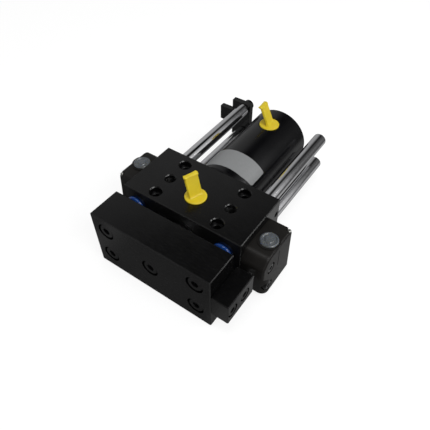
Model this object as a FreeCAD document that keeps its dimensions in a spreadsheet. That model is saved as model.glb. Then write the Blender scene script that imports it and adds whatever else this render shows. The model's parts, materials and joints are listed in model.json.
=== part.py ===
"""Hydraulic block cylinder with a four-rod guide, in millimetres.

The stroke runs along Y with the front plate towards -Y, X is across the width and Z is up. The origin
is the middle of the block's bottom face. The model stands at the retracted end of the stroke.
"""
import FreeCAD
import Part
import math
import os

import Sketcher

Vector = FreeCAD.Vector

SIZES = {
    # Steel block
    "block_width": 110.0,
    "block_depth": 56.0,
    "block_height": 56.0,
    "axis_lift": 1.5,
    "edge_break": 0.6,
    # Fits
    "running_fit": 0.05,
    "end_play": 0.3,
    # Cylinder
    "stroke_length": 90.0,
    "bore_diameter": 32.0,
    "rod_diameter": 20.0,
    "gland_diameter": 38.0,
    "gland_length": 13.0,
    "gland_spanner_hole": 2.5,
    "gland_spanner_depth": 3.5,
    "seal_width": 5.0,
    "seal_depth": 4.0,
    "piston_length": 20.0,
    "piston_nose_diameter": 26.0,
    "piston_nose_length": 8.0,
    "piston_thread": 12.0,
    "piston_nut_width": 18.0,
    "piston_nut_height": 6.5,
    "piston_nut_room": 22.0,
    "ring_width": 4.0,
    "ring_depth": 2.5,
    # Barrel
    "barrel_diameter": 55.0,
    "barrel_spigot_diameter": 42.0,
    "barrel_spigot_length": 12.0,
    "barrel_rim": 1.0,
    "joint_seal_width": 3.2,
    "joint_seal_depth": 2.0,
    "cap_diameter": 40.0,
    "cap_length": 15.4,
    "cap_recess": 1.5,
    "cap_stub_diameter": 26.0,
    "cap_stub_length": 8.0,
    "spanner_hole": 4.0,
    "spanner_depth": 5.0,
    "spanner_circle": 26.0,
    # Ports and their plugs
    "port_diameter": 11.5,
    "port_depth": 8.5,
    "port_drilling": 6.0,
    "front_port_place": -6.8,
    "rear_port_lead": 1.3,
    "spot_face_diameter": 20.0,
    "spot_face_depth": 1.5,
    "plug_flange_diameter": 17.7,
    "plug_flange_height": 1.4,
    "plug_shank_length": 6.5,
    "plug_wall": 1.2,
    "tab_width": 13.2,
    "tab_thickness": 1.8,
    "tab_lip_height": 2.2,
    "tab_lip_reach": 1.4,
    "front_tab_height": 18.4,
    "front_tab_lean": 6.6,
    "front_tab_turn": -20.0,
    "rear_tab_height": 18.2,
    "rear_tab_lean": 8.0,
    "rear_tab_turn": 4.0,
    # Guide rods
    "rod_side_margin": 13.5,
    "rod_height_margin": 14.5,
    "guide_rod_diameter": 12.0,
    "guide_rod_edge": 0.8,
    "rod_reserve": 10.0,
    "rod_seat": 6.0,
    "bush_wall": 0.8,
    "wiper_diameter": 16.4,
    "wiper_neck": 14.5,
    "wiper_seat": 3.0,
    "wiper_reach": 5.2,
    "wiper_gap": 1.8,
    "wiper_lip": 1.2,
    # Front plate
    "plate_thickness": 28.8,
    "plate_gap": 8.7,
    "plate_lift": 0.5,
    "piston_rod_seat": 8.0,
    # Large socket screws of the plate
    "screw_diameter": 8.0,
    "screw_head_diameter": 13.0,
    "screw_head_height": 8.0,
    "screw_head_edge": 0.7,
    "screw_socket": 6.0,
    "screw_socket_depth": 4.0,
    "screw_grip": 14.0,
    "screw_clear_diameter": 9.0,
    "counterbore_diameter": 15.0,
    "counterbore_depth": 8.6,
    # Socket screws of the trip bar and the bracket
    "small_screw_diameter": 6.0,
    "small_head_diameter": 10.0,
    "small_head_height": 6.0,
    "small_socket": 5.0,
    "small_socket_depth": 3.0,
    "small_grip": 8.0,
    "small_clear_diameter": 6.6,
    "small_counterbore": 11.0,
    "small_counterbore_depth": 6.4,
    # Mounting holes
    "mount_spread": 58.0,
    "mount_pitch": 37.5,
    "mount_place": -1.0,
    "mount_hole": 10.0,
    "hole_chamfer": 0.7,
    "thread_hole": 8.5,
    "thread_depth": 16.0,
    "thread_place": -1.85,
    # Side plug
    "side_plug_diameter": 5.0,
    "side_plug_depth": 5.0,
    "side_plug_inset": 4.5,
    "side_plug_socket": 2.5,
    # Trip bar
    "bar_thickness": 14.7,
    "bar_height": 20.6,
    "bar_bottom": 18.0,
    "bar_setback": 0.2,
    "bar_rear_place": -32.5,
    "bar_front_screw": 6.1,
    "bar_screw_pitch": 15.6,
    # Trip bracket
    "bracket_thickness": 5.3,
    "bracket_inner": 34.2,
    "bracket_outer": 54.6,
    "bracket_rise": 20.0,
    "bracket_tab_reach": 14.4,
    "bracket_tab_top": 7.7,
    "bracket_tab_bottom": -7.6,
    # Limit switches
    "switch_thickness": 19.6,
    "left_switch_shift": 1.6,
    "switch_front": 21.9,
    "switch_rear": 13.4,
    "switch_rear_lean": 3.0,
    "switch_bottom": 2.0,
    "switch_top": 48.2,
    "switch_nose_reach": 5.9,
    "switch_nose_bottom": 30.0,
    "switch_nose_foot": 24.0,
    "switch_nose_top": 40.0,
    "switch_slope": 6.8,
    "switch_slope_round": 6.0,
    "switch_rear_round": 1.5,
    "switch_corner": 6.0,
    "switch_edge_round": 2.0,
    "switch_seam_place": 5.8,
    "switch_seam_width": 0.8,
    "switch_seam_depth": 0.4,
    "switch_seam_length": 18.0,
    "switch_screw_place": 16.4,
    "switch_screw_low": 10.5,
    "switch_screw_high": 33.0,
    "switch_screw_diameter": 5.0,
    "switch_head_diameter": 8.5,
    "switch_head_height": 5.0,
    "switch_socket": 4.0,
    "switch_socket_depth": 2.5,
    "switch_screw_grip": 5.5,
    "switch_clear_diameter": 5.5,
    "switch_counterbore": 10.0,
    "switch_counterbore_depth": 5.2,
    "boss_diameter": 17.4,
    "boss_height": 0.7,
    "boss_place": 6.5,
    "boss_inset": 10.8,
    "switch_cap_diameter": 14.3,
    "switch_cap_height": 1.4,
    "switch_cap_seat": 3.0,
    "switch_cap_bevel": 0.7,
    "switch_cap_rim": 0.7,
    "switch_cap_channel": 1.4,
    "terminal_notch": 3.8,
    "terminal_notch_depth": 3.4,
    "terminal_screw_diameter": 3.0,
    "terminal_screw_height": 2.8,
    "plunger_diameter": 10.0,
    "plunger_inset": 6.2,
    "plunger_height": 24.0,
    "plunger_travel": 3.0,
    "plunger_hold": 16.0,
    "plunger_edge": 0.8,
}


class Size:
    """A length that keeps the spreadsheet formula it is worked out from."""

    def __init__(self, value, formula):
        self.value = value
        self.formula = formula

    def __add__(self, other):
        return Size(self.value + number(other), f"({self.formula} + {formula(other)})")

    def __radd__(self, other):
        return self + other

    def __sub__(self, other):
        return Size(self.value - number(other), f"({self.formula} - {formula(other)})")

    def __rsub__(self, other):
        return Size(number(other) - self.value, f"({formula(other)} - {self.formula})")

    def __mul__(self, other):
        return Size(self.value * number(other), f"({self.formula} * {formula(other)})")

    def __rmul__(self, other):
        return self * other

    def __truediv__(self, other):
        return Size(self.value / number(other), f"({self.formula} / {formula(other)})")

    def __neg__(self):
        return Size(-self.value, f"(0 - {self.formula})")


def number(size):
    return size.value if isinstance(size, Size) else size


def formula(size):
    return size.formula if isinstance(size, Size) else str(size)


class Sizes:
    """The driving dimensions, one attribute for each cell of the spreadsheet."""

    def __init__(self, sheet, table):
        for row, (name, value) in enumerate(table.items(), start=1):
            sheet.set(f"A{row}", name)
            sheet.set(f"B{row}", str(value))
            sheet.setAlias(f"B{row}", name)
            setattr(self, name, Size(value, f"sizes.{name}"))


doc = FreeCAD.newDocument("block_cylinder")
d = Sizes(doc.addObject("Spreadsheet::Sheet", "sizes"), SIZES)
doc.recompute()
pieces = []

# Turns that point a shape's own Z axis along a way of the frame
WAYS = {
    "+x": FreeCAD.Rotation(Vector(0, 1, 0), 90),
    "-x": FreeCAD.Rotation(Vector(0, 1, 0), -90),
    "+y": FreeCAD.Rotation(Vector(1, 0, 0), -90),
    "-y": FreeCAD.Rotation(Vector(1, 0, 0), 90),
    "+z": FreeCAD.Rotation(),
    "-z": FreeCAD.Rotation(Vector(1, 0, 0), 180),
}
HALF_TURN = FreeCAD.Rotation(Vector(0, 0, 1), 180)


def bind(item, setting, size):
    """Ties a property to a size, or sets it where the size is a plain number."""
    if isinstance(size, Size):
        item.setExpression(setting, size.formula)
    else:
        setattr(item, setting, size)


def place(item, spot, turn):
    item.Placement = FreeCAD.Placement(Vector(*[number(part) for part in spot]), turn)
    for letter, part in zip("xyz", spot):
        if isinstance(part, Size):
            item.setExpression(f"Placement.Base.{letter}", part.formula)


def moved(spot, way, distance):
    """A spot shifted by a distance along a way of the frame."""
    index = "xyz".index(way[1])
    shifted = list(spot)
    shifted[index] = shifted[index] + (distance if way[0] == "+" else -1 * distance)
    return tuple(shifted)


def keep(item, label):
    """Names a finished piece and puts it on the list to write."""
    item.Label = label
    pieces.append(item)
    return item


def rod(way, spot, diameter, length):
    item = doc.addObject("Part::Cylinder", "Rod")
    bind(item, "Radius", diameter / 2)
    bind(item, "Height", length)
    place(item, spot, WAYS[way])
    return item


def taper(way, spot, diameter, far_diameter, length):
    item = doc.addObject("Part::Cone", "Taper")
    bind(item, "Radius1", diameter / 2)
    bind(item, "Radius2", far_diameter / 2)
    bind(item, "Height", length)
    place(item, spot, WAYS[way])
    return item


def brick(spot, extent):
    item = doc.addObject("Part::Box", "Brick")
    for setting, size in zip(("Length", "Width", "Height"), extent):
        bind(item, setting, size)
    place(item, spot, WAYS["+z"])
    return item


def hexagon(way, spot, width, length):
    """A hexagonal bar, by its width across the flats."""
    item = doc.addObject("Part::Prism", "Hexagon")
    item.Polygon = 6
    bind(item, "Circumradius", width / math.sqrt(3))
    bind(item, "Height", length)
    place(item, spot, WAYS[way])
    return item


def joined(items):
    if len(items) == 1:
        return items[0]
    item = doc.addObject("Part::MultiFuse", "Joined")
    item.Shapes = items
    return item


def cut(base, tools):
    item = doc.addObject("Part::Cut", "Cut")
    item.Base = base
    item.Tool = joined(tools)
    return item


def set_of(items):
    item = doc.addObject("Part::Compound", "Set")
    item.Links = items
    return item


def edge_broken(box):
    """A box with every edge chamfered."""
    item = doc.addObject("Part::Chamfer", "Broken")
    item.Base = box
    item.Edges = [(edge, d.edge_break.value, d.edge_break.value) for edge in range(1, 13)]
    return item


def sketch_on(body, role, points, offset=None):
    """A closed outline of straight lines on one of the body's own planes, each corner bound to sizes."""
    plane = [item for item in body.Origin.OriginFeatures if item.Role == role][0]
    sketch = body.newObject("Sketcher::SketchObject", "Outline")
    sketch.AttachmentSupport = [(plane, "")]
    sketch.MapMode = "FlatFace"
    if offset is not None:
        sketch.setExpression("AttachmentOffset.Base.z", formula(offset))
    corners = [Vector(number(across), number(along), 0) for across, along in points]
    count = len(corners)
    for index in range(count):
        sketch.addGeometry(Part.LineSegment(corners[index], corners[(index + 1) % count]), False)
    for index in range(count):
        sketch.addConstraint(Sketcher.Constraint("Coincident", index, 2, (index + 1) % count, 1))
    for index, (across, along) in enumerate(points):
        for kind, size, axis in (("DistanceX", across, -2), ("DistanceY", along, -1)):
            if isinstance(size, Size):
                rule = sketch.addConstraint(Sketcher.Constraint(kind, -1, 1, index, 1, size.value))
                sketch.renameConstraint(rule, f"{kind}{index}")
                sketch.setExpression(f"Constraints.{kind}{index}", size.formula)
            else:
                sketch.addConstraint(Sketcher.Constraint("PointOnObject", index, 1, axis))
    return sketch


def turned(way, spot, outline):
    """A lathe part: an outline of (radius, distance along the axis) turned about the axis."""
    body = doc.addObject("PartDesign::Body", "Turned")
    sketch = sketch_on(body, "XZ_Plane", outline)
    sketch.Visibility = False
    feature = body.newObject("PartDesign::Revolution", "Turn")
    feature.Profile = sketch
    feature.ReferenceAxis = (sketch, ["V_Axis"])
    feature.Angle = 360
    place(body, spot, WAYS[way])
    return body


def ring(way, spot, outer, inner, length):
    return turned(way, spot, [(inner / 2, 0), (outer / 2, 0), (outer / 2, length), (inner / 2, length)])


def padded(role, outline, offset, thickness, backwards):
    body = doc.addObject("PartDesign::Body", "Padded")
    sketch = sketch_on(body, role, outline, offset)
    feature = body.newObject("PartDesign::Pad", "Pad")
    feature.Profile = sketch
    bind(feature, "Length", thickness)
    feature.Reversed = backwards
    return body


def rounded(body, radius, wanted):
    """Fillets the edges of a body's last feature that a test picks by their middle and direction."""
    doc.recompute()
    feature = body.Tip
    names = []
    for index, edge in enumerate(feature.Shape.Edges, start=1):
        if wanted(edge.CenterOfMass, edge.tangentAt(edge.FirstParameter)):
            names.append(f"Edge{index}")
    fillet = body.newObject("PartDesign::Fillet", "Rounded")
    fillet.Base = (feature, names)
    bind(fillet, "Radius", radius)
    return body


def socket_screw(way, spot, thread, head, head_height, length, socket, socket_depth):
    """A socket screw from its head's outer face inwards."""
    edge = d.screw_head_edge
    outline = [
        (0, 0),
        (head / 2 - edge, 0),
        (head / 2, edge),
        (head / 2, head_height),
        (thread / 2, head_height),
        (thread / 2, head_height + length),
        (0, head_height + length),
    ]
    return cut(turned(way, spot, outline), [hexagon(way, spot, socket, socket_depth)])


# Places that several pieces share
block_front = -1 * d.block_depth / 2
block_rear = d.block_depth / 2
block_side = d.block_width / 2
axis_height = d.block_height / 2 + d.axis_lift
rod_across = block_side - d.rod_side_margin
rod_rise = d.block_height / 2 - d.rod_height_margin
gland_rear = block_front + d.gland_length
nose_front = gland_rear + d.end_play + d.stroke_length
piston_front = nose_front + d.piston_nose_length
piston_rear = piston_front + d.piston_length
stub_front = piston_rear + d.end_play
cap_front = stub_front + d.cap_stub_length
cap_rear = cap_front + d.cap_length
barrel_rear = cap_rear + d.cap_recess
spigot_front = block_rear - d.barrel_spigot_length
rear_port_place = stub_front + d.rear_port_lead
barrel_top = axis_height + d.barrel_diameter / 2
spot_face = barrel_top - d.spot_face_depth
plate_rear = block_front - d.plate_gap
plate_front = plate_rear - d.plate_thickness
guide_rod_front = plate_rear - d.rod_seat
guide_rod_rear = block_rear + d.stroke_length + d.rod_reserve
piston_rod_front = plate_rear - d.piston_rod_seat
screw_head_face = plate_front + d.counterbore_depth - d.screw_head_height
rod_bore = d.rod_diameter + 2 * d.running_fit
guide_bore = d.guide_rod_diameter + 2 * d.running_fit
bush_diameter = guide_bore + 2 * d.bush_wall
bar_middle = d.bar_bottom + d.bar_height / 2
bar_outside = block_side + d.bar_thickness
bar_front = plate_front + d.bar_setback
switch_outside = block_side + d.switch_thickness
plunger_side = block_side + d.plunger_inset

GUIDES = {
    "left_upper": (-1 * rod_across, axis_height + rod_rise),
    "left_lower": (-1 * rod_across, axis_height - rod_rise),
    "right_upper": (rod_across, axis_height + rod_rise),
    "right_lower": (rod_across, axis_height - rod_rise),
}
MOUNT_HOLES = [(side * d.mount_spread / 2, d.mount_place + end * d.mount_pitch / 2)
               for side in (-1, 1) for end in (-1, 1)]
THREAD_HOLES = [(side * d.mount_spread / 2, d.thread_place) for side in (-1, 1)]
BAR_SCREWS = [bar_front + d.bar_front_screw, bar_front + d.bar_front_screw + d.bar_screw_pitch]
SWITCH_SCREWS = [(-1 * d.switch_screw_place, height) for height in (d.switch_screw_low, d.switch_screw_high)]
SWITCH_WAYS = {"right": "-x", "left": "+x"}


def on_switch(name, across, along, height):
    """A spot given for the right switch; the left switch is a half turn of it, set a little forward."""
    if name == "right":
        return across, along, height
    return -1 * across, -1 * along - d.left_switch_shift, height


def stand_switch(item, name):
    """Puts a shape made for the right switch on the switch that is named."""
    turn = HALF_TURN if name == "left" else FreeCAD.Rotation()
    place(item, on_switch(name, 0, 0, 0), turn)
    return item


def guide_block():
    box = brick((-1 * block_side, block_front, 0), (d.block_width, d.block_depth, d.block_height))
    tools = [
        rod("+y", (0, block_front, axis_height), d.gland_diameter, d.gland_length),
        rod("+y", (0, block_front, axis_height), d.bore_diameter, d.block_depth),
        rod("-y", (0, block_rear, axis_height), d.barrel_spigot_diameter, d.barrel_spigot_length),
        rod("-z", (0, d.front_port_place, d.block_height), d.port_diameter, d.port_depth),
        rod("-z", (0, d.front_port_place, d.block_height), d.port_drilling, d.block_height - axis_height),
        rod("-x", (block_side, block_rear - d.side_plug_inset, GUIDES["right_upper"][1]),
            d.side_plug_diameter, d.side_plug_depth),
    ]
    for across, height in GUIDES.values():
        tools.append(rod("+y", (across, block_front, height), bush_diameter, d.block_depth))
        tools.append(rod("+y", (across, block_front, height), d.wiper_neck, d.wiper_seat))
    for across, along in MOUNT_HOLES:
        wide = d.mount_hole + 2 * d.hole_chamfer
        tools.append(rod("+z", (across, along, 0), d.mount_hole, d.block_height))
        tools.append(taper("+z", (across, along, 0), wide, d.mount_hole, d.hole_chamfer))
        tools.append(taper("-z", (across, along, d.block_height), wide, d.mount_hole, d.hole_chamfer))
    for across, along in THREAD_HOLES:
        wide = d.thread_hole + 2 * d.hole_chamfer
        tools.append(rod("-z", (across, along, d.block_height), d.thread_hole, d.thread_depth))
        tools.append(taper("-z", (across, along, d.block_height), wide, d.thread_hole, d.hole_chamfer))
    for name, way in SWITCH_WAYS.items():
        for along, height in SWITCH_SCREWS:
            tools.append(rod(way, on_switch(name, block_side, along, height), d.switch_screw_diameter,
                             d.switch_screw_grip))
    keep(cut(edge_broken(box), tools), "guide_block")


def barrel():
    spigot = d.barrel_spigot_diameter / 2
    groove = spigot - d.joint_seal_depth
    seal_front = d.barrel_spigot_length / 2 - d.joint_seal_width / 2
    seal_rear = seal_front + d.joint_seal_width
    length = barrel_rear - spigot_front
    seat = cap_front - spigot_front
    outline = [
        (d.bore_diameter / 2, 0),
        (spigot, 0),
        (spigot, seal_front),
        (groove, seal_front),
        (groove, seal_rear),
        (spigot, seal_rear),
        (spigot, d.barrel_spigot_length),
        (d.barrel_diameter / 2 - d.barrel_rim, d.barrel_spigot_length),
        (d.barrel_diameter / 2, d.barrel_spigot_length + d.barrel_rim),
        (d.barrel_diameter / 2, length - d.barrel_rim),
        (d.barrel_diameter / 2 - d.barrel_rim, length),
        (d.cap_diameter / 2, length),
        (d.cap_diameter / 2, seat),
        (d.bore_diameter / 2, seat),
    ]
    tube = turned("+y", (0, spigot_front, axis_height), outline)
    port = (0, rear_port_place, spot_face)
    tools = [
        rod("+z", port, d.spot_face_diameter, 2 * d.spot_face_depth),
        rod("-z", port, d.port_diameter, d.port_depth),
        rod("-z", port, d.port_drilling, spot_face - axis_height),
    ]
    keep(cut(tube, tools), "barrel")
    seal = (0, spigot_front + seal_front, axis_height)
    keep(ring("+y", seal, d.barrel_spigot_diameter, groove * 2, d.joint_seal_width), "barrel_seal")


def barrel_end_cap():
    radius = d.cap_diameter / 2
    groove = radius - d.joint_seal_depth
    seal_front = d.cap_stub_length + d.joint_seal_width
    seal_rear = seal_front + d.joint_seal_width
    length = d.cap_stub_length + d.cap_length
    outline = [
        (0, 0),
        (d.cap_stub_diameter / 2, 0),
        (d.cap_stub_diameter / 2, d.cap_stub_length),
        (radius, d.cap_stub_length),
        (radius, seal_front),
        (groove, seal_front),
        (groove, seal_rear),
        (radius, seal_rear),
        (radius, length - d.edge_break),
        (radius - d.edge_break, length),
        (0, length),
    ]
    plug = turned("+y", (0, stub_front, axis_height), outline)
    tools = [rod("-y", (side * d.spanner_circle / 2, cap_rear, axis_height), d.spanner_hole, d.spanner_depth)
             for side in (-1, 1)]
    keep(cut(plug, tools), "barrel_end_cap")
    seal = (0, stub_front + seal_front, axis_height)
    keep(ring("+y", seal, d.cap_diameter, groove * 2, d.joint_seal_width), "end_cap_seal")


def rod_gland():
    """The screwed-in front bush of the piston rod, with its wiper, rod seal and outer seal."""
    radius = d.gland_diameter / 2
    inner = rod_bore / 2
    seat = inner + d.seal_depth
    outer_groove = radius - d.joint_seal_depth
    wiper_end = d.seal_width
    seal_front = d.gland_length - d.seal_width - d.edge_break * 2
    seal_rear = seal_front + d.seal_width
    outer_front = d.gland_length / 2 - d.joint_seal_width / 2
    outer_rear = outer_front + d.joint_seal_width
    outline = [
        (seat, 0),
        (radius - d.edge_break, 0),
        (radius, d.edge_break),
        (radius, outer_front),
        (outer_groove, outer_front),
        (outer_groove, outer_rear),
        (radius, outer_rear),
        (radius, d.gland_length),
        (inner, d.gland_length),
        (inner, seal_rear),
        (seat, seal_rear),
        (seat, seal_front),
        (inner, seal_front),
        (inner, wiper_end),
        (seat, wiper_end),
    ]
    front = (0, block_front, axis_height)
    bush = turned("+y", front, outline)
    spanner_place = (seat + radius) / 2
    tools = [rod("+y", (side * spanner_place, block_front, axis_height), d.gland_spanner_hole,
                 d.gland_spanner_depth) for side in (-1, 1)]
    keep(cut(bush, tools), "rod_gland")
    keep(ring("+y", moved(front, "+y", seal_front), seat * 2, rod_bore, d.seal_width), "rod_seal")
    keep(ring("+y", moved(front, "+y", outer_front), d.gland_diameter, outer_groove * 2, d.joint_seal_width),
         "gland_seal")
    lip = [
        (inner, -1 * d.wiper_lip),
        (inner + d.seal_depth / 3, -1 * d.wiper_lip),
        (seat, 0),
        (seat, wiper_end),
        (inner, wiper_end),
    ]
    keep(turned("+y", front, lip), "rod_wiper")


def piston_rod():
    radius = d.rod_diameter / 2
    shoulder = nose_front - piston_rod_front
    end = piston_rear - piston_rod_front
    thread = d.screw_diameter / 2
    depth = d.screw_grip + d.screw_diameter
    outline = [
        (thread, 0),
        (radius - d.edge_break, 0),
        (radius, d.edge_break),
        (radius, shoulder),
        (d.piston_thread / 2, shoulder),
        (d.piston_thread / 2, end - d.edge_break),
        (0, end - d.edge_break),
        (0, depth),
        (thread, depth),
    ]
    keep(turned("+y", (0, piston_rod_front, axis_height), outline), "piston_rod")


def piston():
    """The piston with its seal, its guide ring and the nut that holds it on the rod."""
    radius = d.bore_diameter / 2 - d.running_fit
    groove = radius - d.ring_depth
    nose = d.piston_nose_diameter / 2
    full = d.piston_nose_length
    length = full + d.piston_length
    seal_front = full + d.ring_width
    seal_rear = seal_front + d.ring_width
    guide_front = seal_rear + d.ring_width / 2
    guide_rear = guide_front + d.ring_width
    nut_depth = d.piston_nut_height + d.edge_break
    outline = [
        (d.piston_thread / 2, 0),
        (nose - d.edge_break, 0),
        (nose, d.edge_break),
        (nose, full),
        (radius, full),
        (radius, seal_front),
        (groove, seal_front),
        (groove, seal_rear),
        (radius, seal_rear),
        (radius, guide_front),
        (groove, guide_front),
        (groove, guide_rear),
        (radius, guide_rear),
        (radius, length),
        (d.piston_nut_room / 2, length),
        (d.piston_nut_room / 2, length - nut_depth),
        (d.piston_thread / 2, length - nut_depth),
    ]
    front = (0, nose_front, axis_height)
    keep(turned("+y", front, outline), "piston")
    for name, start in (("piston_seal", seal_front), ("piston_guide_ring", guide_front)):
        keep(ring("+y", moved(front, "+y", start), radius * 2, groove * 2, d.ring_width), name)
    seat = moved(front, "+y", length - nut_depth)
    nut = cut(hexagon("+y", seat, d.piston_nut_width, d.piston_nut_height),
              [rod("+y", seat, d.piston_thread, d.piston_nut_height)])
    keep(nut, "piston_nut")


def guide_set(name, across, height):
    """One guide rod with its bush and wiper."""
    radius = d.guide_rod_diameter / 2
    thread = d.screw_diameter / 2
    depth = d.screw_grip + d.screw_diameter / 2
    rear_thread = d.small_screw_diameter / 2
    rear_depth = d.small_grip + d.small_screw_diameter / 2
    length = guide_rod_rear - guide_rod_front
    outline = [
        (thread, 0),
        (radius - d.guide_rod_edge, 0),
        (radius, d.guide_rod_edge),
        (radius, length - d.guide_rod_edge),
        (radius - d.guide_rod_edge, length),
        (rear_thread, length),
        (rear_thread, length - rear_depth),
        (0, length - rear_depth),
        (0, depth),
        (thread, depth),
    ]
    keep(turned("+y", (across, guide_rod_front, height), outline), f"guide_rod_{name}")
    bush = (across, block_front + d.wiper_seat, height)
    keep(ring("+y", bush, bush_diameter, guide_bore, d.block_depth - d.wiper_seat), f"guide_bush_{name}")
    outer = d.wiper_diameter / 2
    neck = d.wiper_neck / 2
    inner = guide_bore / 2
    lip_end = d.wiper_reach - d.wiper_gap
    lip = [
        (inner, 0),
        (outer - d.wiper_lip, 0),
        (outer, d.wiper_lip),
        (outer, lip_end),
        (neck, lip_end),
        (neck, d.wiper_reach + d.wiper_seat),
        (inner, d.wiper_reach + d.wiper_seat),
    ]
    keep(turned("+y", (across, block_front - d.wiper_reach, height), lip), f"guide_wiper_{name}")


def front_plate():
    height = d.block_height - d.plate_lift
    box = brick((-1 * block_side, plate_front, d.plate_lift), (d.block_width, d.plate_thickness, height))
    tools = [rod("-y", (0, plate_rear, axis_height), d.rod_diameter, d.piston_rod_seat)]
    for across, level in list(GUIDES.values()) + [(0, axis_height)]:
        front = (across, plate_front, level)
        tools.append(rod("+y", front, d.counterbore_diameter, d.counterbore_depth))
        tools.append(rod("+y", front, d.screw_clear_diameter, d.plate_thickness))
    for across, level in GUIDES.values():
        tools.append(rod("-y", (across, plate_rear, level), d.guide_rod_diameter, d.rod_seat))
    for along in BAR_SCREWS:
        tools.append(rod("-x", (block_side, along, bar_middle), d.small_screw_diameter, d.small_grip))
    keep(cut(edge_broken(box), tools), "front_plate")


def plate_screws():
    screws = []
    for across, level in GUIDES.values():
        screws.append((across, level, guide_rod_front))
    screws.append((0, axis_height, piston_rod_front))
    solids = []
    for across, level, seat in screws:
        length = seat - screw_head_face - d.screw_head_height + d.screw_grip
        solids.append(socket_screw("+y", (across, screw_head_face, level), d.screw_diameter,
                                   d.screw_head_diameter, d.screw_head_height, length, d.screw_socket,
                                   d.screw_socket_depth))
    keep(set_of(solids), "plate_screws")


def trip_bar():
    """The bar on the plate's right side, with its two screws into the plate."""
    length = d.bar_rear_place - bar_front
    box = brick((block_side, bar_front, d.bar_bottom), (d.bar_thickness, length, d.bar_height))
    screw_length = d.bar_thickness - d.small_counterbore_depth + d.small_grip
    tools = []
    solids = []
    for along in BAR_SCREWS:
        mouth = (bar_outside, along, bar_middle)
        tools.append(rod("-x", mouth, d.small_counterbore, d.small_counterbore_depth))
        tools.append(rod("-x", mouth, d.small_clear_diameter, d.bar_thickness))
        head = moved(mouth, "-x", d.small_counterbore_depth - d.small_head_height)
        solids.append(socket_screw("-x", head, d.small_screw_diameter, d.small_head_diameter,
                                   d.small_head_height, screw_length, d.small_socket, d.small_socket_depth))
    keep(cut(edge_broken(box), tools), "trip_bar")
    keep(set_of(solids), "trip_bar_screws")


def trip_bracket():
    """The notched plate on the rear ends of the two left rods, whose tab reaches out beside the block."""
    top = axis_height + d.bracket_rise
    inner = -1 * d.bracket_inner
    outer = -1 * d.bracket_outer
    tab = outer - d.bracket_tab_reach
    tab_top = axis_height + d.bracket_tab_top
    tab_bottom = axis_height + d.bracket_tab_bottom
    outline = [
        (inner, axis_height - d.bracket_rise),
        (inner, top),
        (outer, top),
        (outer, tab_top),
        (tab, tab_top),
        (tab, tab_bottom),
        (outer, tab_bottom),
        (outer, axis_height - d.bracket_rise),
    ]
    body = padded("XZ_Plane", outline, -1 * guide_rod_rear, d.bracket_thickness, True)
    left = [GUIDES["left_upper"], GUIDES["left_lower"]]
    tools = [rod("+y", (across, guide_rod_rear, level), d.small_clear_diameter, d.bracket_thickness)
             for across, level in left]
    keep(cut(body, tools), "trip_bracket")
    head_face = guide_rod_rear + d.bracket_thickness + d.small_head_height
    length = d.bracket_thickness + d.small_grip
    solids = [socket_screw("-y", (across, head_face, level), d.small_screw_diameter, d.small_head_diameter,
                           d.small_head_height, length, d.small_socket, d.small_socket_depth)
              for across, level in left]
    keep(set_of(solids), "bracket_screws")


def switch_housing(name):
    """A limit switch: a moulded housing with a nose over its plunger and a capped boss on top."""
    front = -1 * d.switch_front
    nose = front - d.switch_nose_reach
    outline = [
        (front, d.switch_bottom),
        (d.switch_rear + d.switch_rear_lean, d.switch_bottom),
        (d.switch_rear, d.switch_top),
        (nose + d.switch_slope, d.switch_top),
        (nose, d.switch_nose_top),
        (nose, d.switch_nose_bottom),
        (front, d.switch_nose_foot),
    ]
    body = padded("YZ_Plane", outline, block_side, d.switch_thickness, False)
    outside = switch_outside.value

    def slope_ends(middle, way):
        """The two crosswise edges that bound the slope."""
        at_top = abs(middle.z - d.switch_top.value) < 0.01 and middle.y < 0
        at_nose = abs(middle.z - d.switch_nose_top.value) < 0.01
        return abs(way.x) > 0.99 and (at_top or at_nose)

    def rear_top(middle, way):
        """The crosswise edge along the top's rear."""
        at_top = abs(middle.z - d.switch_top.value) < 0.01
        return abs(way.x) > 0.99 and at_top and abs(middle.y - d.switch_rear.value) < 0.01

    def lower_corner(middle, way):
        """The upright outer edge below the nose."""
        return abs(way.z) > 0.99 and abs(middle.x - outside) < 0.01 and abs(middle.y - front.value) < 0.01

    def nose_edge(middle, way):
        """The upright outer edge of the nose; the rounding runs on over the slope, the top and the rear."""
        return abs(way.z) > 0.99 and abs(middle.x - outside) < 0.01 and abs(middle.y - nose.value) < 0.01

    rounded(body, d.switch_slope_round, slope_ends)
    rounded(body, d.switch_rear_round, rear_top)
    rounded(body, d.switch_corner, lower_corner)
    rounded(body, d.switch_edge_round, nose_edge)
    boss = (block_side + d.boss_inset, -1 * d.boss_place, d.switch_top)
    boss_ring = rod("+z", moved(boss, "-z", d.switch_cap_seat), d.boss_diameter,
                    d.switch_cap_seat + d.boss_height)
    solid = joined([body, boss_ring])
    cap_seat = moved(boss, "+z", d.boss_height)
    tools = [
        rod("-z", cap_seat, d.switch_cap_diameter, d.switch_cap_seat + d.boss_height),
        rod("+y", (plunger_side, nose, d.plunger_height), d.plunger_diameter + 2 * d.running_fit,
            d.switch_nose_reach + d.plunger_hold + 2 * d.plunger_travel),
        brick((switch_outside - d.terminal_notch, d.switch_rear - d.terminal_notch,
               d.switch_top - d.terminal_notch_depth),
              (d.terminal_notch, d.terminal_notch + d.switch_rear_lean, d.terminal_notch_depth)),
        brick((switch_outside - d.switch_seam_depth, -1 * d.switch_seam_place, d.switch_nose_foot),
              (d.switch_seam_depth, d.switch_seam_width, d.switch_seam_length)),
    ]
    for along, height in SWITCH_SCREWS:
        mouth = (switch_outside, along, height)
        tools.append(rod("-x", mouth, d.switch_counterbore, d.switch_counterbore_depth))
        tools.append(rod("-x", mouth, d.switch_clear_diameter, d.switch_thickness))
    keep(stand_switch(cut(solid, tools), name), f"switch_housing_{name}")
    return boss


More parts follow.
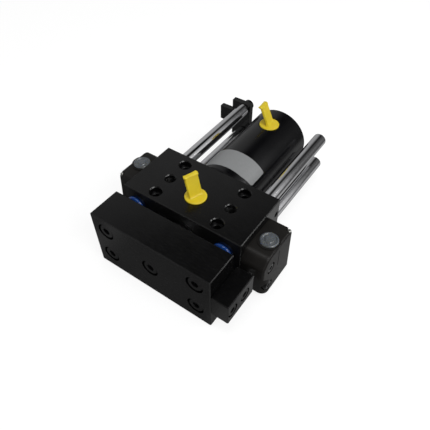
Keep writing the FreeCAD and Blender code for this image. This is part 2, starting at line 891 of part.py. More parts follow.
def switch_cap(name, boss):
    """The grey cap that shuts the boss: a rim round a lower middle, with a raised centre."""
    radius = d.switch_cap_diameter / 2
    top = d.switch_cap_seat + d.boss_height + d.switch_cap_height
    bevel = d.switch_cap_bevel
    rim = radius - bevel - d.switch_cap_rim
    channel_outside = rim - bevel
    channel_inside = channel_outside - d.switch_cap_channel
    outline = [
        (0, 0),
        (radius, 0),
        (radius, top - bevel),
        (radius - bevel, top),
        (rim, top),
        (channel_outside, top - bevel),
        (channel_inside, top - bevel),
        (channel_inside - bevel, top),
        (0, top),
    ]
    body = turned("+z", moved(on_switch(name, *boss), "-z", d.switch_cap_seat), outline)
    keep(body, f"switch_cap_{name}")


def switch_screws():
    solids = []
    length = d.switch_thickness - d.switch_counterbore_depth + d.switch_screw_grip
    head = switch_outside - d.switch_counterbore_depth + d.switch_head_height
    for name, way in SWITCH_WAYS.items():
        for along, height in SWITCH_SCREWS:
            solids.append(socket_screw(way, on_switch(name, head, along, height), d.switch_screw_diameter,
                                       d.switch_head_diameter, d.switch_head_height, length, d.switch_socket,
                                       d.switch_socket_depth))
    keep(set_of(solids), "switch_screws")


def switch_terminal_screws():
    radius = d.terminal_screw_diameter / 2
    height = d.terminal_screw_height
    outline = [
        (0, 0),
        (radius, 0),
        (radius, height - d.edge_break),
        (radius - d.edge_break, height),
        (0, height),
    ]
    across = switch_outside - d.terminal_notch / 2
    along = d.switch_rear - d.terminal_notch / 2
    floor = d.switch_top - d.terminal_notch_depth
    solids = [turned("+z", on_switch(name, across, along, floor), outline) for name in SWITCH_WAYS]
    keep(set_of(solids), "switch_terminal_screws")


def switch_plunger(name, way, tip):
    """A plunger from its tip into the housing; the left one is longer as the bracket stops further out."""
    radius = d.plunger_diameter / 2
    across, mouth, height = on_switch(name, plunger_side, -1 * d.switch_front, d.plunger_height)
    reach = mouth - tip if name == "right" else tip - mouth
    length = d.plunger_hold + reach
    outline = [
        (0, 0),
        (radius - d.plunger_edge, 0),
        (radius, d.plunger_edge),
        (radius, length),
        (0, length),
    ]
    keep(turned(way, (across, tip, height), outline), f"switch_plunger_{name}")


def port_plug(name, seat, height, lean, turn):
    """A push-in plug with a flange, a hollow shank and a leaning pull tab with a lip along its top."""
    shank = d.port_diameter / 2 - d.running_fit
    flange = d.plug_flange_diameter / 2
    outline = [
        (0, 0),
        (shank - d.plug_wall, 0),
        (shank - d.plug_wall, -1 * d.plug_shank_length),
        (shank, -1 * d.plug_shank_length),
        (shank, 0),
        (flange, 0),
        (flange, d.plug_flange_height),
        (0, d.plug_flange_height),
    ]
    half = d.tab_thickness / 2
    foot = d.plug_flange_height / 2
    top = height + d.plug_flange_height
    tab = [
        (-1 * half, foot),
        (half, foot),
        (half - lean, top - d.tab_lip_height),
        (half - lean + d.tab_lip_reach, top - d.tab_lip_height),
        (half - lean + d.tab_lip_reach, top),
        (-1 * half - lean, top),
    ]
    body = padded("XZ_Plane", tab, -1 * d.tab_width / 2, d.tab_width, False)
    plug = joined([turned("+z", (0, 0, 0), outline), body])
    place(plug, seat, FreeCAD.Rotation(Vector(0, 0, 1), turn.value))
    keep(plug, name)


def side_plug():
    """The set screw in the block's right face, level with the upper rod."""
    spot = (block_side - d.edge_break, block_rear - d.side_plug_inset, GUIDES["right_upper"][1])
    length = d.side_plug_depth - d.edge_break
    screw = rod("-x", spot, d.side_plug_diameter, length)
    keep(cut(screw, [hexagon("-x", spot, d.side_plug_socket, length / 2)]), "side_plug")


def build():
    guide_block()
    barrel()
    barrel_end_cap()
    rod_gland()
    piston_rod()
    piston()
    for name, (across, height) in GUIDES.items():
        guide_set(name, across, height)
    front_plate()
    plate_screws()
    trip_bar()
    trip_bracket()
    for name in SWITCH_WAYS:
        boss = switch_housing(name)
        switch_cap(name, boss)
    switch_screws()
    switch_terminal_screws()
    switch_plunger("right", "+y", d.bar_rear_place + d.end_play)
    switch_plunger("left", "-y", guide_rod_rear - d.stroke_length - d.end_play)
    port_plug("front_port_plug", (0, d.front_port_place, d.block_height), d.front_tab_height,
              d.front_tab_lean, d.front_tab_turn)
    port_plug("rear_port_plug", (0, rear_port_place, spot_face), d.rear_tab_height, d.rear_tab_lean,
              d.rear_tab_turn)
    side_plug()


def check_and_write():
    doc.recompute()
    for item in doc.Objects:
        if "Invalid" in item.State or "Error" in item.State:
            raise RuntimeError(f"{item.Label} failed: {item.State}")
    for piece in pieces:
        if piece.Shape.isNull() or not piece.Shape.isValid():
            raise RuntimeError(f"{piece.Label} has no valid shape")
    os.makedirs("parts", exist_ok=True)
    for piece in pieces:
        piece.Shape.exportStep(f"parts/{piece.Label}.step")
        print(f"{piece.Label}: {len(piece.Shape.Solids)} solids, {piece.Shape.Volume:.1f} mm3")


build()
check_and_write()
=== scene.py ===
"""Looks of the hydraulic block cylinder.

Materials for every node, the bare label, the threads and shelves in the block's holes, the soft plugs, and
the floor, surround, lamps and camera.
"""

import json
import math

import bmesh
import bpy
from mathutils import Matrix, Vector


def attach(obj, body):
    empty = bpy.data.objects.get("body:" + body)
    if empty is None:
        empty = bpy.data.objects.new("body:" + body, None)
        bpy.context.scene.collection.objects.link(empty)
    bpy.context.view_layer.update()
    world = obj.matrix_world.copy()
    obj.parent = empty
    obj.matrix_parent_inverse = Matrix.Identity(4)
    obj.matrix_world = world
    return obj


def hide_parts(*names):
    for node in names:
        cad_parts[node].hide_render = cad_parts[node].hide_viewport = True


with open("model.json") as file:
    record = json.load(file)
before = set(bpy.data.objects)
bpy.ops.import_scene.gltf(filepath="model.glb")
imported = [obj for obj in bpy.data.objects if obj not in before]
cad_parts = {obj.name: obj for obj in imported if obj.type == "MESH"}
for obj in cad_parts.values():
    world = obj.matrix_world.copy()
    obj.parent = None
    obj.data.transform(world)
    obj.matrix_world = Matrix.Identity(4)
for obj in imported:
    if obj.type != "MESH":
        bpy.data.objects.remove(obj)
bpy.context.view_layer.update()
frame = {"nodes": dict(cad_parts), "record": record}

MM = 0.001

# The photograph's camera in the model's frame: metres, degrees, and millimetres for the lens and the sensor
CAMERA_PLACE = (0.1511, -0.1956, 0.3012)
CAMERA_AZIMUTH = 35.182
CAMERA_ELEVATION = 47.798
CAMERA_ROLL = -0.329
CAMERA_LENS = 37.43
CAMERA_SENSOR = 36.0
CAMERA_CLIP_START = 0.01

# Places shared with the CAD model, in millimetres
BLOCK_TOP = 56.0
BARREL_RADIUS = 27.5
AXIS_HEIGHT = 29.5
THREAD_HOLES = ((-29.0, -1.85), (29.0, -1.85))
BOLT_HOLES = ((-29.0, -19.75), (-29.0, 17.75), (29.0, -19.75), (29.0, 17.75))
BOLT_HOLE_RADIUS = 5.0

# The label's edges along Y in millimetres. The front edge leans by a rate per degree from the barrel's top,
# and past an angle each edge leans by a further rate.
LABEL_FRONT, LABEL_REAR = 33.7, 56.2
LABEL_FRONT_LEAN = 0.037
LABEL_FRONT_BEND, LABEL_FRONT_BEND_ANGLE = 0.09, 32.0
LABEL_REAR_BEND, LABEL_REAR_BEND_ANGLE = 0.035, 8.0

# The surround that gloss mirrors: brightness by the direction's X, for directions less and more to the rear,
# the Y between which the one passes into the other, and the share that is left by the direction's Z
SKY_SIDES = ((-1.0, 0.4), (-0.5, 0.38), (-0.37, 0.36), (-0.26, 0.22), (-0.14, 0.09), (-0.02, 0.035),
             (0.1, 0.13), (0.22, 0.32), (0.44, 0.43), (0.6, 0.56), (0.68, 0.56), (0.73, 0.6), (0.78, 0.5),
             (1.0, 0.1))
SKY_REAR_SIDES = ((-1.0, 0.36), (-0.5, 0.32), (-0.37, 0.26), (-0.26, 0.13), (-0.14, 0.04), (-0.02, 0.007),
                  (0.1, 0.017), (0.22, 0.055), (0.44, 0.07), (0.6, 0.12), (0.68, 0.1), (0.72, 0.04),
                  (1.0, 0.04))
SKY_REAR_START, SKY_REAR_END = 0.645, 0.695
SKY_HEIGHTS = ((0.0, 1.0), (0.71, 1.0), (0.75, 0.3), (0.77, 0.02), (1.0, 0.02))

# Strength of the surround: as light on matt surfaces, and as seen by the camera or in gloss
SKY_FILL = 0.5
SKY_SEEN = 1.0

# The floor: half its side and how far it lies below the part in metres, its shade for bounced light, and the
# shadowed and even shares of its white as the camera sees it
FLOOR_HALF = 4.0
FLOOR_DROP = 0.0002
FLOOR_BOUNCE = 0.8
FLOOR_SHADOWED = 0.24
FLOOR_GLOW = 0.8

# The floor that gloss mirrors: its painted shade by the place along Y and by the place along X, in metres,
# darker under and in front of the part as though in its shadow and darker far to its right, and the strength
# and share of an even glow that lifts the part's shadow there
FLOOR_PAINTED_SHADE_ALONG_Y = ((-0.1, 0.29), (-0.07, 0.27), (-0.035, 0.22), (0.0, 0.52), (0.06, 0.5), (0.1, 0.4), (1.0, 0.4))
FLOOR_PAINTED_SHADE_ALONG_X = ((-1.0, 0.95), (-0.112, 0.95), (-0.1, 0.42), (-0.083, 0.42), (-0.075, 0.75), (-0.05, 0.4),
               (0.045, 0.4), (0.06, 0.9), (0.085, 0.9), (0.14, 0.2), (1.0, 0.2))
FLOOR_EVEN = 1.05
FLOOR_EVEN_SHARE = 0.45

# Lamps: name, place and aim in metres, diameter in metres and power in watts
LAMPS = (
    ("key", (0.8, -0.15, 0.85), (0.0, 0.02, 0.03), 0.6, 5.0),
    ("overhead", (0.0, -0.12, 1.2), (0.0, 0.02, 0.03), 0.6, 3.6),
    ("rim", (0.74, 0.48, 0.51), (0.0, 0.0, 0.04), 0.28, 1.3),
)

WHITE = (1.0, 1.0, 1.0, 1.0)

# Refraction of a plain coat or plastic
PLAIN_IOR = 1.45

# Roughness of worn edges, and of the block's milled front face by the place along Y in metres
EDGE_ROUGHNESS = 0.5
MILLED_FACE = ((-0.0286, 0.0), (-0.0283, 0.48), (-0.0279, 0.48), (-0.0276, 0.0))

# Share of the wipers' colour by the place along Y in metres: full on the lip, and a painted shade that
# darkens the neck
WIPER_NECK_PAINTED_SHADE = ((-0.0312, 1.0), (-0.0306, 0.1))

# Sockets of a colour mix node
MIX_FACTOR, MIX_FIRST, MIX_SECOND = 0, 6, 7
MIX_RESULT = 2


def add(tree, kind, **settings):
    """A new node whose settings are attributes, or input values where the name is an input."""
    node = tree.nodes.new(kind)
    for name, value in settings.items():
        if hasattr(node, name):
            setattr(node, name, value)
        else:
            node.inputs[name.replace("_", " ")].default_value = value
    return node


def join(tree, source, output, target, socket):
    """Links an output of one node to an input of another."""
    tree.links.new(source.outputs[output], target.inputs[socket])


def blank_material(name):
    """A material with a lone surface shader, with its nodes and that shader."""
    made = bpy.data.materials.new(name)
    made.use_nodes = True
    tree = made.node_tree
    tree.nodes.clear()
    output = add(tree, "ShaderNodeOutputMaterial")
    shader = add(tree, "ShaderNodeBsdfPrincipled")
    join(tree, shader, "BSDF", output, "Surface")
    return made, tree, shader


def as_colour(value):
    """A colour with its alpha, from a grey value or from red, green and blue."""
    if isinstance(value, (int, float)):
        return (value, value, value, 1.0)
    return (*value, 1.0)


def places(tree, output):
    """The X, Y and Z of a texture coordinate."""
    source = add(tree, "ShaderNodeTexCoord")
    split = add(tree, "ShaderNodeSeparateXYZ")
    join(tree, source, output, split, "Vector")
    return split


def noise(tree, scale, stretch=(1, 1, 1), detail=4.0):
    """Noise in the object's own coordinates, in metres, stretched along the axes."""
    place = add(tree, "ShaderNodeTexCoord")
    mapping = add(tree, "ShaderNodeMapping", Scale=stretch)
    join(tree, place, "Object", mapping, "Vector")
    node = add(tree, "ShaderNodeTexNoise", Scale=scale, Detail=detail)
    join(tree, mapping, "Vector", node, "Vector")
    return node


def ramp(tree, source, output, low, high, start=0.3, end=0.7):
    """A colour or grey ramp between two values over a stretch of a source."""
    node = add(tree, "ShaderNodeValToRGB")
    points = node.color_ramp.elements
    points[0].position = start
    points[1].position = end
    points[0].color = as_colour(low)
    points[1].color = as_colour(high)
    join(tree, source, output, node, "Fac")
    return node


def graded(tree, source, output, stops):
    """A grey ramp through several (source value, brightness) stops."""
    first, last = stops[0][0], stops[-1][0]
    scaled = add(tree, "ShaderNodeMapRange", From_Min=first, From_Max=last)
    join(tree, source, output, scaled, "Value")
    node = add(tree, "ShaderNodeValToRGB")
    points = node.color_ramp.elements
    while len(points) < len(stops):
        points.new(0.5)
    for point, (value, brightness) in zip(points, stops):
        point.position = (value - first) / (last - first)
        point.color = as_colour(brightness)
    join(tree, scaled, "Result", node, "Fac")
    return node


def product(tree, first, second, second_output="Color"):
    """The product of two colours."""
    node = add(tree, "ShaderNodeMix", data_type="RGBA", blend_type="MULTIPLY")
    node.inputs[MIX_FACTOR].default_value = 1.0
    join(tree, first, "Color", node, MIX_FIRST)
    join(tree, second, second_output, node, MIX_SECOND)
    return node


def mixed(tree, mask, mask_output, first, first_output, colour):
    """A colour source mixed towards a fixed colour by a mask."""
    node = add(tree, "ShaderNodeMix", data_type="RGBA")
    join(tree, mask, mask_output, node, MIX_FACTOR)
    join(tree, first, first_output, node, MIX_FIRST)
    node.inputs[MIX_SECOND].default_value = as_colour(colour)
    return node


def reckoned(tree, operation, first, first_output, second, second_output):
    """A value reckoned from two others."""
    node = add(tree, "ShaderNodeMath", operation=operation)
    join(tree, first, first_output, node, 0)
    join(tree, second, second_output, node, 1)
    return node


def shader_mix(tree, first, second):
    """A mix of two shaders, whose share is still to be set or linked."""
    node = add(tree, "ShaderNodeMixShader")
    join(tree, first, 0, node, 1)
    join(tree, second, 0, node, 2)
    return node


def bump(tree, shader, source, output, strength, distance):
    """Fine relief on a shader, its depth in metres."""
    node = add(tree, "ShaderNodeBump", Strength=strength, Distance=distance)
    join(tree, source, output, node, "Height")
    join(tree, node, "Normal", shader, "Normal")
    return node


def edge_mask(tree, radius, low, high):
    """A mask that is bright where an edge bends the surface within a radius."""
    rounded = add(tree, "ShaderNodeBevel", samples=4, Radius=radius)
    plain = add(tree, "ShaderNodeNewGeometry")
    dot = add(tree, "ShaderNodeVectorMath", operation="DOT_PRODUCT")
    join(tree, rounded, "Normal", dot, 0)
    join(tree, plain, "Normal", dot, 1)
    return ramp(tree, dot, "Value", 1.0, 0.0, low, high)


def black_steel(name, dark, light, worn, roughness, brushing, ior=PLAIN_IOR):
    """Blackened steel: mottled oxide, a fine ground grain, dull edges worn towards bare metal, and a duller
    finish where the block's front face is milled."""
    mottle_scale, patch_scale, grain_scale = 70.0, 320.0, 900.0
    edge_radius, edge_low, edge_high = 0.0005, 0.80, 0.985
    patch_low, patch_high = 0.38, 0.68
    smoothest, roughest = roughness - 0.06, roughness + 0.08
    grain_strength, grain_depth = 0.10, 0.00004
    made, tree, shader = blank_material(name)
    mottle = noise(tree, mottle_scale, detail=6.0)
    colour = ramp(tree, mottle, "Fac", dark, light)
    edges = edge_mask(tree, edge_radius, edge_low, edge_high)
    patchy = noise(tree, patch_scale, detail=3.0)
    chance = ramp(tree, patchy, "Fac", 0.0, 1.0, patch_low, patch_high)
    wear = reckoned(tree, "MULTIPLY", edges, "Color", chance, "Color")
    final = mixed(tree, wear, "Value", colour, "Color", worn)
    join(tree, final, MIX_RESULT, shader, "Base Color")
    grain = noise(tree, grain_scale, brushing, detail=3.0)
    rough = ramp(tree, grain, "Fac", smoothest, roughest)
    duller = mixed(tree, edges, "Color", rough, "Color", EDGE_ROUGHNESS)
    milled = graded(tree, places(tree, "Object"), "Y", MILLED_FACE)
    rougher = reckoned(tree, "MAXIMUM", duller, MIX_RESULT, milled, "Color")
    join(tree, rougher, "Value", shader, "Roughness")
    bump(tree, shader, grain, "Fac", grain_strength, grain_depth)
    shader.inputs["IOR"].default_value = ior
    return made


def hard_chrome(name):
    """Hard chrome: bright metal with faint streaks round the rods, as grinding leaves them."""
    streak_scale, streak_stretch = 500.0, (0.5, 3.0, 0.5)
    dark, light = (0.75, 0.75, 0.77), (0.83, 0.83, 0.85)
    smoothest, roughest = 0.08, 0.14
    streak_strength, streak_depth = 0.04, 0.00003
    made, tree, shader = blank_material(name)
    shader.inputs["Metallic"].default_value = 1.0
    streaks = noise(tree, streak_scale, streak_stretch, detail=3.0)
    colour = ramp(tree, streaks, "Fac", dark, light)
    join(tree, colour, "Color", shader, "Base Color")
    rough = ramp(tree, streaks, "Fac", smoothest, roughest)
    join(tree, rough, "Color", shader, "Roughness")
    bump(tree, shader, streaks, "Fac", streak_strength, streak_depth)
    return made


def plastic(name, dark, light, roughness, grain_scale, grain_depth, scatter=0.0, ior=PLAIN_IOR):
    """A moulded plastic: slight shade changes, a surface grain and, for soft ones, scattered light."""
    cloud_scale = 140.0
    smoothest, roughest = roughness - 0.05, roughness + 0.07
    grain_strength = 0.25
    scatter_colour, scatter_reach = (1.0, 0.7, 0.25), 0.0012
    made, tree, shader = blank_material(name)
    cloud = noise(tree, cloud_scale, detail=4.0)
    colour = ramp(tree, cloud, "Fac", dark, light)
    join(tree, colour, "Color", shader, "Base Color")
    grain = noise(tree, grain_scale, detail=2.0)
    rough = ramp(tree, grain, "Fac", smoothest, roughest)
    join(tree, rough, "Color", shader, "Roughness")
    bump(tree, shader, grain, "Fac", grain_strength, grain_depth)
    shader.inputs["IOR"].default_value = ior
    if scatter:
        shader.inputs["Subsurface Weight"].default_value = scatter
        shader.inputs["Subsurface Radius"].default_value = scatter_colour
        shader.inputs["Subsurface Scale"].default_value = scatter_reach
    return made


def bare_metal(name, dark, light, roughness, stretch):
    """Bare metal with a fine machined grain."""
    grain_scale = 700.0
    smoothest, roughest = roughness - 0.05, roughness + 0.08
    grain_strength, grain_depth = 0.12, 0.00004
    made, tree, shader = blank_material(name)
    shader.inputs["Metallic"].default_value = 1.0
    turned = noise(tree, grain_scale, stretch, detail=3.0)
    colour = ramp(tree, turned, "Fac", dark, light)
    join(tree, colour, "Color", shader, "Base Color")
    rough = ramp(tree, turned, "Fac", smoothest, roughest)
    join(tree, rough, "Color", shader, "Roughness")
    bump(tree, shader, turned, "Fac", grain_strength, grain_depth)
    return made


def label_foil(name):
    """A silver-grey foil with a faint brushed grain along the barrel's turn."""
    grain_scale, grain_stretch = 420.0, (1.0, 9.0, 1.0)
    dark, light = (0.185, 0.19, 0.195), (0.225, 0.23, 0.23)
    smoothest, roughest = 0.36, 0.5
    grain_strength, grain_depth = 0.06, 0.00003
    made, tree, shader = blank_material(name)
    brushed = noise(tree, grain_scale, grain_stretch, detail=4.0)
    colour = ramp(tree, brushed, "Fac", dark, light)
    join(tree, colour, "Color", shader, "Base Color")
    rough = ramp(tree, brushed, "Fac", smoothest, roughest)
    join(tree, rough, "Color", shader, "Roughness")
    bump(tree, shader, brushed, "Fac", grain_strength, grain_depth)
    return made


def wiper_plastic(name):
    """Glossy blue polyurethane: a lip with a rounded edge that catches light, and a painted shade on the neck
    behind it.
    """
    edge_samples, edge_radius = 8, 0.0012
    made = plastic(name, dark=(0.005, 0.035, 0.17), light=(0.006, 0.045, 0.21), roughness=0.14,
                   grain_scale=600.0, grain_depth=0.000004, scatter=0.05, ior=1.7)
    tree = made.node_tree
    shader = next(node for node in tree.nodes if node.type == "BSDF_PRINCIPLED")
    colour = shader.inputs["Base Color"].links[0].from_node
    # Painted shade: the neck behind the lip is darkened in the colour, as though in the shadow of its groove
    neck = graded(tree, places(tree, "Object"), "Y", WIPER_NECK_PAINTED_SHADE)
    join(tree, product(tree, colour, neck), MIX_RESULT, shader, "Base Color")
    rounded = add(tree, "ShaderNodeBevel", samples=edge_samples, Radius=edge_radius)
    grain = shader.inputs["Normal"].links[0].from_node
    join(tree, rounded, "Normal", grain, "Normal")
    return made


MATERIALS = {
    "black_steel": black_steel(
        "black_steel", dark=(0.0014, 0.0014, 0.0015), light=(0.0028, 0.0028, 0.003),
        worn=(0.035, 0.035, 0.035), roughness=0.2, brushing=(0.25, 4.0, 4.0)),
    "barrel_steel": black_steel(
        "barrel_steel", dark=(0.002, 0.002, 0.0024), light=(0.003, 0.003, 0.0036),
        worn=(0.03, 0.03, 0.03), roughness=0.16, brushing=(2.0, 2.0, 0.5)),
    "gland_steel": black_steel(
        "gland_steel", dark=(0.002, 0.002, 0.0021), light=(0.0045, 0.0045, 0.0048),
        worn=(0.02, 0.02, 0.02), roughness=0.4, brushing=(4.0, 0.4, 4.0), ior=1.2),
    "black_screw": black_steel(
        "black_screw", dark=(0.0022, 0.0022, 0.0024), light=(0.006, 0.006, 0.0065),
        worn=(0.05, 0.05, 0.05), roughness=0.26, brushing=(2.0, 2.0, 2.0), ior=1.42),
    "hard_chrome": hard_chrome("hard_chrome"),
    "bronze": bare_metal(
        "bronze", dark=(0.36, 0.22, 0.10), light=(0.52, 0.34, 0.17), roughness=0.34, stretch=(1.0, 4.0, 1.0)),
    "blue_polyurethane": wiper_plastic("blue_polyurethane"),
    "black_seal": plastic(
        "black_seal", dark=(0.006, 0.006, 0.006), light=(0.012, 0.012, 0.012), roughness=0.5,
        grain_scale=1500.0, grain_depth=0.00004),
    "guide_ring": plastic(
        "guide_ring", dark=(0.10, 0.065, 0.04), light=(0.15, 0.10, 0.06), roughness=0.5,
        grain_scale=1200.0, grain_depth=0.00004),
    "bare_steel": bare_metal(
        "bare_steel", dark=(0.34, 0.34, 0.35), light=(0.48, 0.48, 0.49), roughness=0.32,
        stretch=(1.0, 5.0, 1.0)),
    "bright_screw": bare_metal(
        "bright_screw", dark=(0.38, 0.38, 0.36), light=(0.48, 0.48, 0.46), roughness=0.36,
        stretch=(2.0, 2.0, 2.0)),
    "switch_plastic": plastic(
        "switch_plastic", dark=(0.006, 0.0053, 0.0046), light=(0.0088, 0.0077, 0.0066), roughness=0.46,
        grain_scale=1900.0, grain_depth=0.00003, ior=1.36),
    "cap_plastic": plastic(
        "cap_plastic", dark=(0.066, 0.074, 0.081), light=(0.084, 0.092, 0.1), roughness=0.28,
        grain_scale=900.0, grain_depth=0.00003, scatter=0.25, ior=1.7),
    "plunger_steel": bare_metal(
        "plunger_steel", dark=(0.48, 0.48, 0.49), light=(0.62, 0.62, 0.63), roughness=0.2,
        stretch=(4.0, 0.5, 4.0)),
    "yellow_plug": plastic(
        "yellow_plug", dark=(0.60, 0.46, 0.016), light=(0.66, 0.51, 0.022), roughness=0.36,
        grain_scale=700.0, grain_depth=0.00004, scatter=0.2),
    "label_foil": label_foil("label_foil"),
}


def dress_nodes():
    """Gives every CAD node the material of its slot."""
    for part in frame["record"]["subparts"]:
        item = frame["nodes"][part["node"]]
        item.data.materials.clear()
        item.data.materials.append(MATERIALS[part["material_slot"]])


def piece_from(name, points, faces, material, body):
    """A smooth mesh piece, in metres, that rides on a body and takes a slot's finish."""
    mesh = bpy.data.meshes.new(name)
    mesh.from_pydata(points, [], faces)
    shape = bmesh.new()
    shape.from_mesh(mesh)
    bmesh.ops.recalc_face_normals(shape, faces=shape.faces)
    shape.to_mesh(mesh)
    shape.free()
    mesh.materials.append(MATERIALS[material])
    for face in mesh.polygons:
        face.use_smooth = True
    item = bpy.data.objects.new(name, mesh)
    bpy.context.collection.objects.link(item)
    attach(item, body)
    return item


def sharpen(item, degrees):
    """Keeps edges steeper than an angle sharp in a smooth mesh."""
    shape = bmesh.new()
    shape.from_mesh(item.data)
    for edge in shape.edges:
        edge.smooth = edge.calc_face_angle(0.0) < math.radians(degrees)
    shape.to_mesh(item.data)
    shape.free()


def grid_faces(rows, columns, wrap=False, ring=False):
    """Faces of a grid of points stored row by row. Wrap closes its columns to a loop, and ring its rows."""
    faces = []
    for row in range(rows if ring else rows - 1):
        here, there = row * columns, (row + 1) % rows * columns
        for column in range(columns if wrap else columns - 1):
            following = (column + 1) % columns
            faces.append((here + column, here + following, there + following, there + column))
    return faces


def hole_point(across, along, radius, angle, height):
    """A point in metres round the axis of an upright hole, from millimetres and radians."""
    return ((across + radius * math.cos(angle)) * MM, (along + radius * math.sin(angle)) * MM, height * MM)


def label_edges(degrees):
    """The label's front and rear edges at an angle from the barrel's top; it sits slightly askew."""
    front = LABEL_FRONT + LABEL_FRONT_LEAN * degrees
    front += LABEL_FRONT_BEND * max(0.0, degrees - LABEL_FRONT_BEND_ANGLE)
    rear = LABEL_REAR + LABEL_REAR_BEND * max(0.0, degrees - LABEL_REAR_BEND_ANGLE)
    return front, rear


def make_label():
    """The bare foil label, a thin sheet with rounded corners wrapped over the barrel."""
    first, last = -88.0, 57.5
    lift, thickness = 0.02, 0.16
    corner = 1.6
    turns, steps = 72, 14
    points = []
    for layer in (lift, lift + thickness):
        radius = BARREL_RADIUS + layer
        for turn in range(turns + 1):
            share = turn / turns
            degrees = first + (last - first) * share
            angle = math.radians(degrees)
            low, high = label_edges(degrees)
            from_end = min(share, 1 - share) * math.radians(last - first) * BARREL_RADIUS
            inset = corner - math.sqrt(max(corner ** 2 - (corner - min(from_end, corner)) ** 2, 0.0))
            for step in range(steps + 1):
                along = low + inset + (high - low - 2 * inset) * step / steps
                points.append((radius * math.sin(angle) * MM, along * MM,
                               (AXIS_HEIGHT + radius * math.cos(angle)) * MM))
    row = steps + 1
    count = (turns + 1) * row
    faces = grid_faces(turns + 1, row)
    faces += [tuple(count + index for index in reversed(face)) for face in faces]
    rim = list(range(row))
    rim += [turn * row + steps for turn in range(1, turns + 1)]
    rim += [turns * row + step for step in range(steps - 1, -1, -1)]
    rim += [turn * row for turn in range(turns - 1, 0, -1)]
    for index, here in enumerate(rim):
        there = rim[(index + 1) % len(rim)]
        faces.append((here, there, count + there, count + here))
    label = piece_from("barrel_label", points, faces, "label_foil", "block")
    sharpen(label, degrees=40)


def make_thread(name, across, along):
    """The visible thread of a hole in the block's top face, a ridge that winds down its wall."""
    core, crest, pitch, depth = 4.23, 3.85, 1.5, 9.0
    start = 2.6
    foot_share, crest_share = 0.42, 0.07
    fade_per_turn = 2
    per_turn = 40
    steps = int(depth / pitch * per_turn)
    points = []
    for step in range(steps + 1):
        angle = 2 * math.pi * step / per_turn
        level = BLOCK_TOP - start - pitch * step / per_turn
        fade = min(1.0, step / per_turn * fade_per_turn, (steps - step) / per_turn * fade_per_turn)
        inner = core - (core - crest) * fade
        section = ((core, pitch * foot_share), (inner, pitch * crest_share), (inner, -pitch * crest_share),
                   (core, -pitch * foot_share))
        for radius, rise in section:
            points.append(hole_point(across, along, radius, angle, level + rise))
    columns = len(section)
    faces = grid_faces(steps + 1, columns, wrap=True)
    faces.append(tuple(range(columns)))
    faces.append(tuple(steps * columns + index for index in reversed(range(columns))))
    thread = piece_from(name, points, faces, "black_steel", "block")
    sharpen(thread, degrees=30)


def make_shelf(name, across, along):
    """The shelf that a screw head seats on in a through hole, a ring round the narrower bore below it."""
    gap = 0.02
    outer, bore, top, bottom = BOLT_HOLE_RADIUS - gap, 3.4, 5.8, 13.0
    chamfer = 0.2
    segments = 48
    profile = ((outer, top), (bore + chamfer, top), (bore, top + chamfer), (bore, bottom), (outer, bottom))
    points = []
    for step in range(segments):
        angle = 2 * math.pi * step / segments
        for radius, depth in profile:
            points.append(hole_point(across, along, radius, angle, BLOCK_TOP - depth))
    faces = grid_faces(segments, len(profile), wrap=True, ring=True)
    shelf = piece_from(name, points, faces, "black_screw", "block")
    sharpen(shelf, degrees=30)


def lathe(profile, segments):
    """Points and faces of a closed form turned about Z, from (radius, height) pairs from axis to axis."""
    points = [(0.0, 0.0, profile[0][1])]
    for radius, height in profile[1:-1]:
        for step in range(segments):
            angle = 2 * math.pi * step / segments
            points.append((radius * math.cos(angle), radius * math.sin(angle), height))
    points.append((0.0, 0.0, profile[-1][1]))
    rings = len(profile) - 2
    faces = []
    for step in range(segments):
        faces.append((0, 1 + (step + 1) % segments, 1 + step))
    for face in grid_faces(rings, segments, wrap=True):
        faces.append(tuple(1 + index for index in face))
    top = len(points) - 1
    base = 1 + (rings - 1) * segments
    for step in range(segments):
        faces.append((base + step, base + (step + 1) % segments, top))
    return points, faces


def tab_surface(height, lean, width, aside, lips, flange_height):
    """Points and faces of a pull tab: a leaning blade with side beads, a filleted foot and a lip on top."""
    half, bead, foot, lip = 0.85, 0.35, 2.2, 2.0
    lean_power = 1.08
    bead_middle, bead_reach = 0.88, 0.12
    edge_start, edge_reach = 0.94, 0.06
    foot_spread, lip_spread, rear_foot = 0.2, 0.4, 0.8
    sunk_share = 0.5
    front_lip, rear_lip = lips
    levels, across = 36, 20
    rings = []
    for level in range(levels + 1):
        share = level / levels
        rise = height * share
        shift = -lean * share ** lean_power
        level_height = flange_height * sunk_share + rise
        fillet = 0.0
        if rise < foot:
            fillet = foot - math.sqrt(foot ** 2 - (foot - rise) ** 2)
        over = max(0.0, (rise - (height - lip)) / lip)
        lipped = math.sqrt(max(0.0, 1 - (2 * over - 1) ** 2)) if over > 0 else 0.0
        front, rear = [], []
        for step in range(across + 1):
            side = 2 * step / across - 1
            beaded = bead * max(0.0, 1 - ((abs(side) - bead_middle) / bead_reach) ** 2)
            rounded = math.sqrt(max(0.0, 1 - max(0.0, (abs(side) - edge_start) / edge_reach) ** 2))
            place = aside + side * (width / 2 + foot_spread * fillet + lip_spread * lipped)
            ahead = half + beaded + fillet + front_lip * lipped
            behind = half + beaded + rear_foot * fillet + rear_lip * lipped
            front.append((shift + ahead * rounded, place, level_height))
            rear.append((shift - behind * rounded, place, level_height))
        rings.append(front + rear[::-1])
    columns = len(rings[0])
    points = [point for ring in rings for point in ring]
    faces = grid_faces(levels + 1, columns, wrap=True)
    faces.append(tuple(range(columns))[::-1])
    faces.append(tuple(levels * columns + index for index in range(columns)))
    return points, faces


